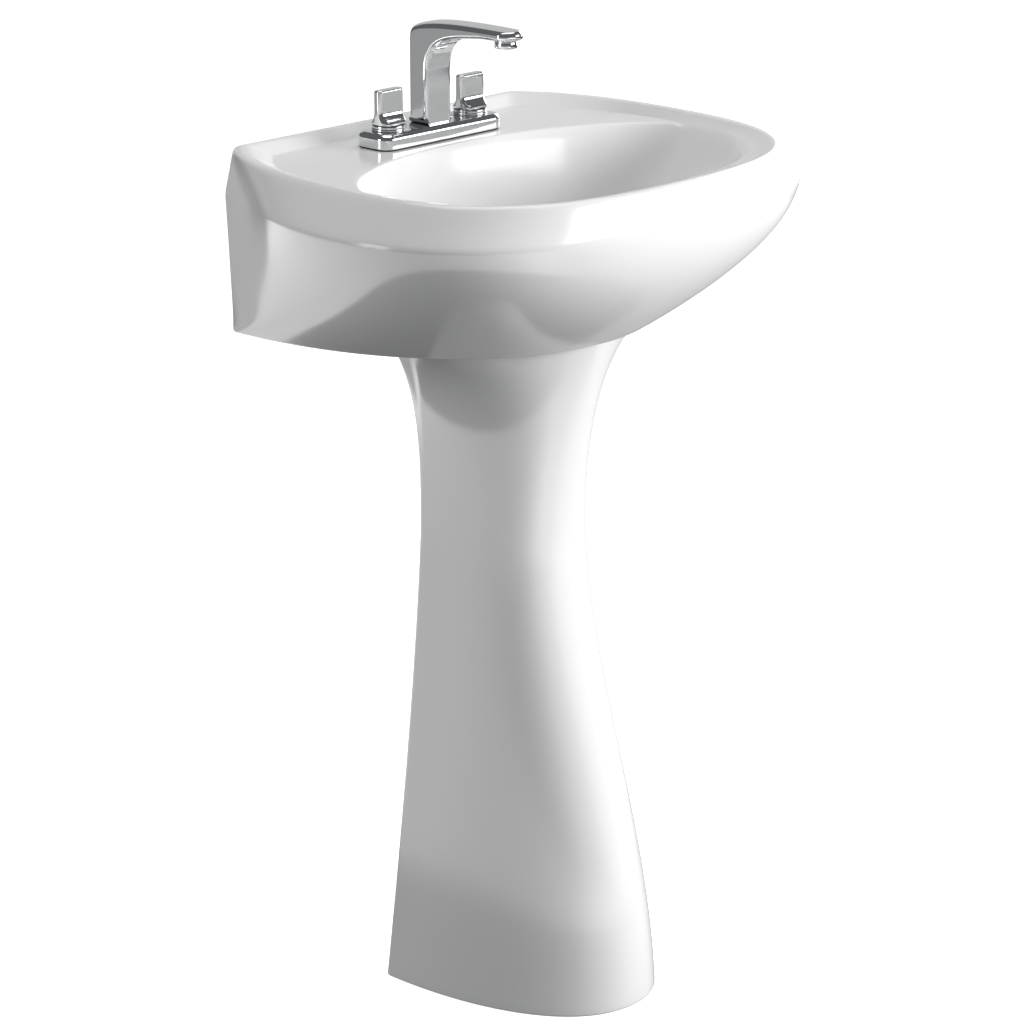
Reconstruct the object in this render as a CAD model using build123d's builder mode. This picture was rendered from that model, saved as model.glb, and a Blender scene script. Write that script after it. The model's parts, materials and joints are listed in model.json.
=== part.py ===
from build123d import *
from dataclasses import dataclass, replace
import math
import os

# Pedestal sink: a vitreous china basin on a china pedestal, with a two-handle
# faucet on 4 inch centres and a push drain.
# Millimetres, +Z up. The origin is on the floor, in the middle of the overall
# width and depth. +Y points to the wall and the user stands at -Y.

# ---------------------------------------------------------------- driving sizes
BASIN_WIDTH = 497.0
BASIN_DEPTH = 374.0
RIM_HEIGHT = 770.0
DECK_DROP = 8.0
SHOULDER_HEIGHT = 734.0
UNDERSIDE_HEIGHT = 612.0
CHINA_WALL = 10.0
RIM_TILT = 0.015
SHOULDER_TILT = -0.011
HULL_STEPS = (1.0, 0.8, 0.6, 0.4, 0.2, 0.0)
HULL_WIDTH_POWER = 1.14
HULL_FRONT_POWER = 2.03
HULL_REACH_POWER = 1.54
BACK_ALLOWANCE = 3.0

BOWL_DEPTH = 131.0
DRAIN_Y = 22.0
DRAIN_HOLE_DIAMETER = 45.0
DRAIN_RECESS_DIAMETER = 66.0
DRAIN_RECESS_DEPTH = 2.5

PEDESTAL_BACK_Y = 77.0
PEDESTAL_WALL = 12.0
BACK_RETURN = 14.0
WAIST_HEIGHT = 430.0
PEDESTAL_STEPS = 15
FOOT_POWER = 1.3
FOOT_FRONT_POWER = 1.7
HEAD_POWER = 3.2
HEAD_FRONT_POWER = 2.0

FAUCET_Y = 120.0
HANDLE_CENTRES = 101.6
FAUCET_HOLE_DIAMETER = 32.0
PLATE_LENGTH = 149.0
PLATE_WIDTH = 42.0
PLATE_HEIGHT = 13.0
SPOUT_REACH = 93.0
SPOUT_HEIGHT = 92.0
SPOUT_WIDTH = 30.0
HANDLE_HEIGHT = 36.0
HANDLE_FOOT_DIAMETER = 30.0
BLADE_WIDTH = 30.0
BLADE_THICKNESS = 9.5

CREST_WIDTH = 10.0
LIP_FOOT_INSET = 24.0
DECK_THICKNESS = 14.0
BOWL_EDGE_RADIUS = 2.0
OVERFLOW_WIDTH = 26.0
OVERFLOW_SLOT_HEIGHT = 10.0
OVERFLOW_HEIGHT = 736.0
OVERFLOW_BACK = 158.0
OVERFLOW_DEPTH = 30.0

WALL_HOLE_SPACING = 203.2
WALL_HOLE_DIAMETER = 13.0
WALL_HOLE_HEIGHT = 700.0
FLOOR_HOLE_DIAMETER = 11.0
FLOOR_HOLE_Y = 60.0
FLOOR_WEB_LENGTH = 202.0
FLOOR_WEB_WIDTH = 30.0
FLOOR_WEB_THICKNESS = 14.0

BODY_WIDTH = 24.0
BODY_LENGTH = 132.0
BODY_HEIGHT = 9.0
PLATE_SHELL = 2.5
PLATE_CORNER_RADIUS = 12.0
SHANK_RADIUS = 10.4
SHANK_BORE_RADIUS = 6.5
SHANK_LENGTH = 56.0
COUPLING_THREAD_RADIUS = 10.2
COUPLING_THREAD_LENGTH = 24.0
SLEEVE_RADIUS = 8.0
SOCKET_RADIUS = 11.0
RISER_RADIUS = 8.0
RISER_HEIGHT = 16.0
STEM_RADIUS = 5.0
RING_HEIGHT = 5.0
HANDLE_GAP = 0.7
FOOT_HEIGHT = 6.0
FLARE_HEIGHT = 7.0
SET_SCREW_RADIUS = 2.0
SET_SCREW_LENGTH = 6.0
SET_SCREW_RISE = 9.0
NUT_RADIUS = 18.0
NUT_HEIGHT = 9.0
WASHER_RADIUS = 20.0
WASHER_THICKNESS = 2.0

SPOUT_TIP_ROUND = 15.5
SPOUT_UNDERSIDE = 84.0
SPOUT_COLUMN_BACK = 9.5
SPOUT_EDGE_RADIUS = 4.0
WATERWAY_RADIUS = 3.5
AERATOR_RADIUS = 9.8
AERATOR_BORE = 7.5
AERATOR_DROP = 7.0
AERATOR_SEAT = 4.0
SCREEN_RADIUS = 6.5
SCREEN_HEIGHT = 5.0
BLADE_CORNER = 3.0

FLANGE_RADIUS = 32.0
FLANGE_THICKNESS = 3.0
FLANGE_SEAT_RADIUS = 22.0
THROAT_RADIUS = 16.0
NECK_RADIUS = 18.0
NECK_LENGTH = 34.0
DRAIN_BODY_RADIUS = 20.5
DRAIN_BODY_TOP = 617.0
DRAIN_BODY_BASE = 562.0
GASKET_RADIUS = 30.0
GASKET_HEIGHT = 9.0
DRAIN_NUT_RADIUS = 27.0
DRAIN_NUT_HEIGHT = 10.0
TAILPIECE_RADIUS = 15.875
TAILPIECE_NECK_RADIUS = 15.6
TAILPIECE_WALL = 1.2
TAILPIECE_TOP = 560.0
TAILPIECE_BASE = 420.0
TAILPIECE_FLANGE = 2.0
TAILPIECE_FLANGE_RADIUS = 20.0
COUPLING_RADIUS = 24.5
COUPLING_HEIGHT = 18.0
COUPLING_BASE = 554.0
CAP_RADIUS = 24.0
CAP_THICKNESS = 4.0
STOPPER_TRAVEL = 8.0
STOPPER_STEM_RADIUS = 4.0
STOPPER_STEM_LENGTH = 52.0
GUIDE_HEIGHT = 8.0

RUNNING_FIT = 0.05

# ---------------------------------------------------------------- derived sizes
wall_y = BASIN_DEPTH / 2
uncut_back_y = wall_y + BACK_ALLOWANCE
front_y = -BASIN_DEPTH / 2
half_width = BASIN_WIDTH / 2
deck_height = RIM_HEIGHT - DECK_DROP
deck_underside = deck_height - DECK_THICKNESS
bowl_floor_height = deck_height - BOWL_DEPTH
handle_x = HANDLE_CENTRES / 2
wall_hole_x = WALL_HOLE_SPACING / 2
gasket_thickness = 1.5
plate_base = deck_height + gasket_thickness
plate_top = plate_base + PLATE_HEIGHT

os.makedirs("parts", exist_ok=True)


def save(piece, name):
    """Label a finished piece and write it under its own name."""
    piece.part.label = name
    export_step(piece.part, f"parts/{name}.step")


# ------------------------------------------------------------------ china pieces
@dataclass(frozen=True)
class Outline:
    """A D-shaped plan: a straight back, two flanks and a round front."""

    back_half: float
    back_y: float
    widest_half: float
    widest_y: float
    front_y: float
    corner_reach: float
    flank_reach: float
    shoulder_reach: float
    nose_reach: float
    splay: float = 0.0


def between(a, b, share, **own_shares):
    """The outline part of the way from a to b; named fields keep their own pace."""
    values = {}
    for field, start in vars(a).items():
        values[field] = start + (getattr(b, field) - start) * own_shares.get(field, share)
    return Outline(**values)


def inset(shape, distance):
    """The outline drawn in by one wall thickness on every side."""
    return replace(
        shape,
        back_half=shape.back_half - distance,
        back_y=shape.back_y - distance,
        widest_half=shape.widest_half - distance,
        front_y=shape.front_y + distance,
    )


def level(height, tilt=0.0):
    """A plane at this height on the centre line, rising towards the wall by tilt."""
    return Plane(origin=(0, 0, height), x_dir=(1, 0, 0), z_dir=(0, -tilt, 1))


def plan_face(shape, plane):
    """The closed D-shaped face of an outline on its plane."""
    splay = math.radians(shape.splay)
    corner = Vector(shape.back_half, shape.back_y)
    widest = Vector(shape.widest_half, shape.widest_y)
    nose = Vector(0, shape.front_y)
    corner_pull = corner + Vector(math.sin(splay), -math.cos(splay)) * shape.corner_reach
    flank_pull = widest + Vector(0, shape.flank_reach)
    shoulder_pull = widest - Vector(0, shape.shoulder_reach)
    nose_pull = nose + Vector(shape.nose_reach, 0)

    def flip(point):
        return Vector(-point.X, point.Y)

    with BuildSketch(plane) as plan:
        with BuildLine():
            Line(flip(corner), corner)
            Bezier(corner, corner_pull, flank_pull, widest)
            Bezier(widest, shoulder_pull, nose_pull, nose)
            Bezier(nose, flip(nose_pull), flip(shoulder_pull), flip(widest))
            Bezier(flip(widest), flip(flank_pull), flip(corner_pull), flip(corner))
        make_face()
    return plan.sketch.face()


shoulder_plan = Outline(
    back_half=187, back_y=uncut_back_y, widest_half=half_width, widest_y=-21, front_y=front_y,
    corner_reach=65, flank_reach=122, shoulder_reach=153, nose_reach=111,
)
underside_plan = Outline(
    back_half=179, back_y=uncut_back_y, widest_half=195, widest_y=166, front_y=-90,
    corner_reach=16, flank_reach=8, shoulder_reach=142, nose_reach=119,
)
crest_plan = Outline(
    back_half=174, back_y=uncut_back_y, widest_half=225, widest_y=2, front_y=-180,
    corner_reach=34, flank_reach=120, shoulder_reach=150, nose_reach=130, splay=40,
)


def hull_sections(wall):
    """Sections of the belly from the underside to the shoulder, less a wall."""
    sections = []
    for fall in HULL_STEPS:
        shape = between(
            shoulder_plan, underside_plan, fall,
            widest_half=fall**HULL_WIDTH_POWER, widest_y=fall**HULL_FRONT_POWER,
            front_y=fall**HULL_FRONT_POWER, shoulder_reach=fall**HULL_REACH_POWER,
            nose_reach=fall**HULL_REACH_POWER,
        )
        height = SHOULDER_HEIGHT + (UNDERSIDE_HEIGHT - SHOULDER_HEIGHT) * fall
        plane = level(height, SHOULDER_TILT * (1 - fall))
        sections.append(plan_face(inset(shape, wall), plane))
    return sections


@dataclass(frozen=True)
class BowlRing:
    """One level of the bowl: a rear arc and a fuller front, on a given depth."""

    depth: float
    rear_y: float
    half: float
    widest_y: float
    front_y: float


bowl_rings = (
    BowlRing(0, 87, 197, -12, -152),
    BowlRing(10, 82, 192, -12, -148),
    BowlRing(40, 75, 178, -10, -134),
    BowlRing(72, 70, 156, -6, -110),
    BowlRing(102, 66, 124, 2, -78),
    BowlRing(122, 62, 80, 14, -42),
    BowlRing(BOWL_DEPTH, 57, 38, DRAIN_Y, -14),
)


def bowl_face(ring, grow, height):
    """The closed face of one bowl ring, grown outwards by a distance."""
    rear = Vector(0, ring.rear_y + grow)
    side = Vector(ring.half + grow, ring.widest_y)
    nose = Vector(0, ring.front_y - grow)
    rear_pull = Vector(side.X * 0.5, rear.Y)
    side_rear_pull = Vector(side.X, side.Y + (rear.Y - side.Y) * 0.55)
    side_front_pull = Vector(side.X, side.Y + (nose.Y - side.Y) * 0.75)
    nose_pull = Vector(side.X * 0.58, nose.Y)

    def flip(point):
        return Vector(-point.X, point.Y)

    with BuildSketch(Plane.XY.offset(height)) as plan:
        with BuildLine():
            Bezier(rear, rear_pull, side_rear_pull, side)
            Bezier(side, side_front_pull, nose_pull, nose)
            Bezier(nose, flip(nose_pull), flip(side_front_pull), flip(side))
            Bezier(flip(side), flip(side_rear_pull), flip(rear_pull), rear)
        make_face()
    return plan.sketch.face()


def bowl_sections(grow, lowered):
    """All bowl rings, grown sideways and lowered by a wall thickness."""
    return [bowl_face(ring, grow, deck_height - ring.depth - lowered) for ring in bowl_rings]


# The hollow under the china: inside the belly, but outside the bowl's own wall.
with BuildPart() as under_hollow:
    loft(sections=hull_sections(CHINA_WALL))
    bevel_share = (deck_underside - SHOULDER_HEIGHT) / (RIM_HEIGHT - SHOULDER_HEIGHT)
    hollow_top = inset(between(shoulder_plan, crest_plan, bevel_share), CHINA_WALL + 2)
    loft(
        sections=[
            plan_face(inset(shoulder_plan, CHINA_WALL), level(SHOULDER_HEIGHT, SHOULDER_TILT)),
            plan_face(hollow_top, level(deck_underside)),
        ],
        ruled=True,
    )
    loft(sections=bowl_sections(CHINA_WALL, CHINA_WALL), mode=Mode.SUBTRACT)

with BuildPart() as basin:
    loft(sections=hull_sections(0))
    loft(
        sections=[
            plan_face(shoulder_plan, level(SHOULDER_HEIGHT, SHOULDER_TILT)),
            plan_face(crest_plan, level(RIM_HEIGHT, RIM_TILT)),
        ],
        ruled=True,
    )
    # The sunken deck, with a sloping lip up to the crest, and the bowl below it.
    loft(
        sections=[
            plan_face(inset(crest_plan, LIP_FOOT_INSET), level(deck_height)),
            plan_face(inset(crest_plan, CREST_WIDTH), level(RIM_HEIGHT + 1, RIM_TILT)),
        ],
        ruled=True,
        mode=Mode.SUBTRACT,
    )
    loft(sections=bowl_sections(0, 0), mode=Mode.SUBTRACT)
    bowl_edge = [
        edge
        for edge in basin.edges()
        if abs((edge @ 0.5).Z - deck_height) < 0.5 and abs((edge @ 0.5).X) > 190
    ]
    fillet(bowl_edge, BOWL_EDGE_RADIUS)
    add(under_hollow.part, mode=Mode.SUBTRACT)
    # The back is ground flat, to stand against the wall.
    with Locations((0, wall_y, 0)):
        Box(
            2 * BASIN_WIDTH, 4 * BACK_ALLOWANCE, 2 * RIM_HEIGHT,
            align=(Align.CENTER, Align.MIN, Align.MIN), mode=Mode.SUBTRACT,
        )
    # Drain recess and outlet.
    with Locations((0, DRAIN_Y, bowl_floor_height - DRAIN_RECESS_DEPTH)):
        Cylinder(
            DRAIN_RECESS_DIAMETER / 2, 6,
            align=(Align.CENTER, Align.CENTER, Align.MIN), mode=Mode.SUBTRACT,
        )
    with Locations((0, DRAIN_Y, bowl_floor_height)):
        Cylinder(DRAIN_HOLE_DIAMETER / 2, 40, mode=Mode.SUBTRACT)
    # Three faucet holes through the deck.
    with Locations(*[(x, FAUCET_Y, deck_height) for x in (-handle_x, 0, handle_x)]):
        Cylinder(FAUCET_HOLE_DIAMETER / 2, 40, mode=Mode.SUBTRACT)
    # Two wall fixing holes through the back.
    with Locations(Plane.XZ.offset(-wall_y)):
        with Locations(*[(x, WALL_HOLE_HEIGHT) for x in (-wall_hole_x, wall_hole_x)]):
            Cylinder(WALL_HOLE_DIAMETER / 2, 60, mode=Mode.SUBTRACT)
    # Overflow slot in the front of the bowl.
    with BuildSketch(Plane.XZ.offset(OVERFLOW_BACK)):
        with Locations((0, OVERFLOW_HEIGHT)):
            SlotOverall(OVERFLOW_WIDTH, OVERFLOW_SLOT_HEIGHT)
    extrude(amount=-OVERFLOW_DEPTH, mode=Mode.SUBTRACT)
save(basin, "basin")


foot_plan = Outline(
    back_half=109, back_y=PEDESTAL_BACK_Y, widest_half=109, widest_y=68, front_y=-132,
    corner_reach=3, flank_reach=3, shoulder_reach=98, nose_reach=76,
)
waist_plan = Outline(
    back_half=61, back_y=PEDESTAL_BACK_Y, widest_half=61, widest_y=68, front_y=-47,
    corner_reach=3, flank_reach=3, shoulder_reach=95, nose_reach=40,
)
head_plan = Outline(
    back_half=102, back_y=PEDESTAL_BACK_Y, widest_half=131, widest_y=14, front_y=-84,
    corner_reach=22, flank_reach=20, shoulder_reach=74, nose_reach=8, splay=20,
)


def pedestal_shape(height):
    """The column's section: a flared foot, a slim waist and a wider head."""
    if height <= WAIST_HEIGHT:
        drop = 1 - height / WAIST_HEIGHT
        return between(
            waist_plan, foot_plan, drop**FOOT_POWER,
            front_y=math.sin(drop * math.pi / 2) ** FOOT_FRONT_POWER,
        )
    rise = (height - WAIST_HEIGHT) / (UNDERSIDE_HEIGHT - WAIST_HEIGHT)
    return between(waist_plan, head_plan, rise**HEAD_POWER, front_y=rise**HEAD_FRONT_POWER)


def pedestal_loft(shape_change):
    """The column's sections, evenly spaced, with one change made to each outline."""
    heights = [UNDERSIDE_HEIGHT * step / PEDESTAL_STEPS for step in range(PEDESTAL_STEPS + 1)]
    return [plan_face(shape_change(pedestal_shape(height)), level(height)) for height in heights]


def chamber(shape):
    """Inside of the column, with a wall all round."""
    return replace(inset(shape, PEDESTAL_WALL), widest_y=shape.widest_y - PEDESTAL_WALL)


def back_opening(shape):
    """The narrower way in from behind, past the two back returns."""
    return replace(inset(shape, PEDESTAL_WALL + BACK_RETURN), back_y=shape.back_y + 4)


with BuildPart() as pedestal:
    loft(sections=pedestal_loft(lambda shape: shape))
    loft(sections=pedestal_loft(chamber), mode=Mode.SUBTRACT)
    loft(sections=pedestal_loft(back_opening), mode=Mode.SUBTRACT)
    # A floor web across the foot, with one fixing hole.
    with Locations((0, FLOOR_HOLE_Y, 0)):
        Box(
            FLOOR_WEB_LENGTH, FLOOR_WEB_WIDTH, FLOOR_WEB_THICKNESS,
            align=(Align.CENTER, Align.CENTER, Align.MIN),
        )
        Cylinder(FLOOR_HOLE_DIAMETER / 2, 4 * FLOOR_WEB_THICKNESS, mode=Mode.SUBTRACT)
save(pedestal, "pedestal")


# ------------------------------------------------------------------ faucet
body_top = plate_top - PLATE_SHELL
body_base = body_top - BODY_HEIGHT
ring_top = plate_top + RING_HEIGHT
handle_base = ring_top + HANDLE_GAP
handle_top = plate_top + HANDLE_HEIGHT
stem_top = handle_base + 12.0
stem_base = body_base + 1.0
upwards = (Align.CENTER, Align.CENTER, Align.MIN)
downwards = (Align.CENTER, Align.CENTER, Align.MAX)


def tube(x, y, base, height, outer, inner):
    """A plain upright tube."""
    with BuildPart() as piece:
        with Locations((x, y, base)):
            Cylinder(outer, height, align=upwards)
            Cylinder(inner, height, align=upwards, mode=Mode.SUBTRACT)
    return piece


with BuildPart() as faucet_gasket:
    with BuildSketch(Plane.XY.offset(deck_height)):
        with Locations((0, FAUCET_Y)):
            RectangleRounded(PLATE_LENGTH - 2, PLATE_WIDTH - 2, PLATE_CORNER_RADIUS - 1)
            RectangleRounded(BODY_LENGTH, BODY_WIDTH, 8, mode=Mode.SUBTRACT)
    extrude(amount=gasket_thickness)
save(faucet_gasket, "faucet_gasket")

with BuildPart() as faucet_base_plate:
    with BuildSketch(Plane.XY.offset(plate_base)):
        with Locations((0, FAUCET_Y)):
            RectangleRounded(PLATE_LENGTH, PLATE_WIDTH, PLATE_CORNER_RADIUS)
    extrude(amount=PLATE_HEIGHT)
    fillet(faucet_base_plate.edges().group_by(Axis.Z)[-1], 3)
    with BuildSketch(Plane.XY.offset(plate_base)):
        with Locations((0, FAUCET_Y)):
            RectangleRounded(
                PLATE_LENGTH - 2 * PLATE_SHELL,
                PLATE_WIDTH - 2 * PLATE_SHELL,
                PLATE_CORNER_RADIUS - PLATE_SHELL,
            )
    extrude(amount=PLATE_HEIGHT - PLATE_SHELL, mode=Mode.SUBTRACT)
    with Locations(*[(x, FAUCET_Y, plate_top) for x in (-handle_x, handle_x)]):
        Cylinder(SOCKET_RADIUS, 20, mode=Mode.SUBTRACT)
    with Locations((0, FAUCET_Y, plate_top)):
        Cylinder(RISER_RADIUS, 20, mode=Mode.SUBTRACT)
save(faucet_base_plate, "faucet_base_plate")

# One brass casting: a bar under the plate, two threaded shanks below it, two
# sockets for the valves and the riser that the spout sits on.
with BuildPart() as faucet_body:
    with BuildSketch(Plane.XY.offset(body_base)):
        with Locations((0, FAUCET_Y)):
            RectangleRounded(BODY_LENGTH - 4, BODY_WIDTH - 1, 8)
    extrude(amount=BODY_HEIGHT)
    for x in (-handle_x, handle_x):
        with Locations((x, FAUCET_Y, body_base)):
            Cylinder(COUPLING_THREAD_RADIUS, SHANK_LENGTH, align=downwards)
            Cylinder(SHANK_RADIUS, SHANK_LENGTH - COUPLING_THREAD_LENGTH, align=downwards)
            Cylinder(SHANK_BORE_RADIUS, SHANK_LENGTH, align=downwards, mode=Mode.SUBTRACT)
        with Locations((x, FAUCET_Y, body_top)):
            Cylinder(SOCKET_RADIUS, PLATE_SHELL + RING_HEIGHT - 1, align=upwards)
        with Locations((x, FAUCET_Y, body_base)):
            Cylinder(SLEEVE_RADIUS, 40, align=upwards, mode=Mode.SUBTRACT)
    with Locations((0, FAUCET_Y, body_top)):
        Cylinder(RISER_RADIUS, PLATE_SHELL + RISER_HEIGHT, align=upwards)
    with Locations((0, FAUCET_Y, body_base + 3)):
        Cylinder(RISER_RADIUS - 3, 60, align=upwards, mode=Mode.SUBTRACT)
    # The cross passage that joins both valves to the riser.
    with Locations(Location((0, FAUCET_Y, body_base + 4.5), (0, 90, 0))):
        Cylinder(2.8, HANDLE_CENTRES, mode=Mode.SUBTRACT)
save(faucet_body, "faucet_body")

# The spout: a side view of the bent arm, crossed with its plan.
spout_plane = Plane(origin=(0, FAUCET_Y, plate_top), x_dir=(0, -1, 0), z_dir=(-1, 0, 0))
spout_tip = SPOUT_REACH + SPOUT_TIP_ROUND
aerator_y = FAUCET_Y - SPOUT_REACH
spout_underside = plate_top + SPOUT_UNDERSIDE

with BuildPart() as spout:
    with BuildSketch(spout_plane):
        with BuildLine():
            back = Line((-SPOUT_COLUMN_BACK, 0), (-SPOUT_COLUMN_BACK, SPOUT_HEIGHT - 18))
            crown = Bezier(
                back @ 1,
                (-SPOUT_COLUMN_BACK, SPOUT_HEIGHT - 7),
                (-8, SPOUT_HEIGHT - 5),
                (6, SPOUT_HEIGHT - 2),
            )
            top = Bezier(
                crown @ 1,
                (26, SPOUT_HEIGHT + 2),
                (60, SPOUT_HEIGHT + 1),
                (spout_tip - 4, SPOUT_HEIGHT + 1),
            )
            tip = Bezier(
                top @ 1,
                (spout_tip + 1, SPOUT_HEIGHT + 1),
                (spout_tip + 1, SPOUT_UNDERSIDE),
                (spout_tip - 5, SPOUT_UNDERSIDE),
            )
            under = Line(tip @ 1, (SPOUT_REACH - 14, SPOUT_UNDERSIDE))
            arch = Bezier(
                under @ 1, (34, SPOUT_UNDERSIDE - 6), (12, SPOUT_UNDERSIDE - 4), (12, 50)
            )
            front = Line(arch @ 1, (12, 0))
            Line(front @ 1, back @ 0)
        make_face()
    extrude(amount=SPOUT_WIDTH / 2, both=True)
    with BuildSketch(Plane.XY.offset(plate_top)):
        with BuildLine():
            half = SPOUT_WIDTH / 2
            tip_y = FAUCET_Y - spout_tip
            right_back = Line((half, FAUCET_Y + 12), (half, FAUCET_Y - 12))
            right_arm = Line(right_back @ 1, (half - 2, tip_y + 8))
            nose = ThreePointArc(right_arm @ 1, (0, tip_y), (2 - half, tip_y + 8))
            left_arm = Line(nose @ 1, (-half, FAUCET_Y - 12))
            left_back = Line(left_arm @ 1, (-half, FAUCET_Y + 12))
            Line(left_back @ 1, right_back @ 0)
        make_face()
    extrude(amount=SPOUT_HEIGHT + 10, mode=Mode.INTERSECT)
    upright_edges = [edge for edge in spout.edges().filter_by(Axis.Z) if edge.length > 20]
    fillet(upright_edges, SPOUT_EDGE_RADIUS)
    # The waterway: up the column, along the arm and down to the aerator.
    with Locations((0, FAUCET_Y, plate_top)):
        Cylinder(RISER_RADIUS, RISER_HEIGHT + 0.5, align=upwards, mode=Mode.SUBTRACT)
        Cylinder(WATERWAY_RADIUS + 1, SPOUT_HEIGHT - 8, align=upwards, mode=Mode.SUBTRACT)
    with Locations(Location((0, FAUCET_Y, plate_top + SPOUT_UNDERSIDE + 2.5), (90, 0, 0))):
        Cylinder(WATERWAY_RADIUS, SPOUT_REACH, align=upwards, mode=Mode.SUBTRACT)
    with Locations((0, aerator_y, spout_underside)):
        Cylinder(AERATOR_BORE, 2 * AERATOR_SEAT, mode=Mode.SUBTRACT)
save(spout, "spout")

# The aerator hangs from the tip: a chrome shell round a screen and its washer.
with BuildPart() as aerator_shell:
    with Locations((0, aerator_y, spout_underside)):
        Cylinder(AERATOR_RADIUS, AERATOR_DROP, align=downwards)
        Cylinder(AERATOR_BORE, AERATOR_SEAT, align=upwards)
        Cylinder(SCREEN_RADIUS, 40, mode=Mode.SUBTRACT)
    chamfer(aerator_shell.edges().group_by(Axis.Z)[0], 0.6)
save(aerator_shell, "aerator_shell")

with BuildPart() as aerator_screen:
    with Locations((0, aerator_y, spout_underside - AERATOR_DROP + 0.8)):
        Cylinder(SCREEN_RADIUS, SCREEN_HEIGHT, align=upwards)
        with PolarLocations(4.2, 8):
            Cylinder(0.7, 20, mode=Mode.SUBTRACT)
        with PolarLocations(2.0, 4):
            Cylinder(0.7, 20, mode=Mode.SUBTRACT)
save(aerator_screen, "aerator_screen")

aerator_washer = tube(
    0, aerator_y, spout_underside - AERATOR_DROP + SCREEN_HEIGHT + 0.8, 2.5, SCREEN_RADIUS, 3.6
)
save(aerator_washer, "aerator_washer")


# ------------------------------------------------------------------ valves and handles
def build_valve(side, x):
    """The fixed pieces of one valve: trim ring, sleeve, washer and nut."""
    ring = tube(x, FAUCET_Y, plate_top, RING_HEIGHT, HANDLE_FOOT_DIAMETER / 2, SOCKET_RADIUS)
    save(ring, f"{side}_trim_ring")
    sleeve = tube(
        x, FAUCET_Y, body_base + 1, ring_top - 1 - body_base - 1,
        SLEEVE_RADIUS, STEM_RADIUS + RUNNING_FIT,
    )
    save(sleeve, f"{side}_valve_sleeve")
    washer = tube(
        x, FAUCET_Y, deck_underside - WASHER_THICKNESS, WASHER_THICKNESS,
        WASHER_RADIUS, SHANK_RADIUS,
    )
    save(washer, f"{side}_shank_washer")
    with BuildPart() as nut:
        with BuildSketch(Plane.XY.offset(nut_base)):
            with Locations((x, FAUCET_Y)):
                Circle(NUT_RADIUS - 3)
                Rectangle(2 * NUT_RADIUS, 6)
                Rectangle(6, 2 * NUT_RADIUS)
                Circle(SHANK_RADIUS, mode=Mode.SUBTRACT)
        extrude(amount=NUT_HEIGHT)
    save(nut, f"{side}_shank_nut")


def build_handle(side, x, inward):
    """The turning pieces of one valve: handle, stem and set screw."""
    with BuildPart() as handle:
        with Locations((x, FAUCET_Y, handle_base)):
            Cylinder(HANDLE_FOOT_DIAMETER / 2, FOOT_HEIGHT, align=upwards)
        with BuildSketch(Plane.XY.offset(handle_base + FOOT_HEIGHT)) as foot_top:
            with Locations((x, FAUCET_Y)):
                Circle(HANDLE_FOOT_DIAMETER / 2)
        with BuildSketch(Plane.XY.offset(handle_base + FOOT_HEIGHT + FLARE_HEIGHT)) as blade_foot:
            with Locations((x, FAUCET_Y)):
                RectangleRounded(BLADE_WIDTH, BLADE_THICKNESS, BLADE_CORNER)
        loft(sections=[foot_top.sketch.face(), blade_foot.sketch.face()])
        extrude(
            blade_foot.sketch,
            amount=handle_top - handle_base - FOOT_HEIGHT - FLARE_HEIGHT,
        )
        fillet(handle.edges().group_by(Axis.Z)[-1], 1.2)
        with Locations((x, FAUCET_Y, handle_base)):
            Cylinder(STEM_RADIUS, stem_top - handle_base, align=upwards, mode=Mode.SUBTRACT)
        with Locations(Location((x, FAUCET_Y, screw_height), (0, 90 * inward, 0))):
            Cylinder(SET_SCREW_RADIUS, 30, align=upwards, mode=Mode.SUBTRACT)
    save(handle, f"{side}_handle")

    with BuildPart() as stem:
        with Locations((x, FAUCET_Y, stem_base)):
            Cylinder(STEM_RADIUS, stem_top - stem_base, align=upwards)
    save(stem, f"{side}_valve_stem")

    with BuildPart() as screw:
        with Locations(
            Location((x + inward * STEM_RADIUS, FAUCET_Y, screw_height), (0, 90 * inward, 0))
        ):
            Cylinder(SET_SCREW_RADIUS, SET_SCREW_LENGTH, align=upwards)
            with Locations((0, 0, SET_SCREW_LENGTH - 2)):
                with BuildSketch() as hexagon:
                    RegularPolygon(1.2, 6)
                extrude(hexagon.sketch, amount=4, mode=Mode.SUBTRACT)
    save(screw, f"{side}_set_screw")


nut_base = deck_underside - WASHER_THICKNESS - NUT_HEIGHT
screw_height = handle_base + SET_SCREW_RISE
for side, x, inward in (("hot", -handle_x, 1), ("cold", handle_x, -1)):
    build_valve(side, x)
    build_handle(side, x, inward)


# ------------------------------------------------------------------ drain
drain_base = bowl_floor_height - DRAIN_RECESS_DEPTH
flange_top = drain_base + FLANGE_THICKNESS
china_underside = bowl_floor_height - CHINA_WALL
neck_base = drain_base - NECK_LENGTH
cap_base = flange_top + STOPPER_TRAVEL + 0.5
tailpiece_neck_base = COUPLING_BASE - 1

with BuildPart() as drain_flange:
    with Locations((0, DRAIN_Y, drain_base)):
        Cylinder(FLANGE_RADIUS, FLANGE_THICKNESS, align=upwards)
        Cylinder(NECK_RADIUS, NECK_LENGTH, align=downwards)
        Cylinder(THROAT_RADIUS, 4 * NECK_LENGTH, mode=Mode.SUBTRACT)
    with Locations((0, DRAIN_Y, flange_top)):
        Cone(THROAT_RADIUS, FLANGE_SEAT_RADIUS, 2.4, align=downwards, mode=Mode.SUBTRACT)
    fillet(drain_flange.edges().group_by(Axis.Z)[-1].sort_by(SortBy.LENGTH)[-1], 1.2)
save(drain_flange, "drain_flange")

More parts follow.
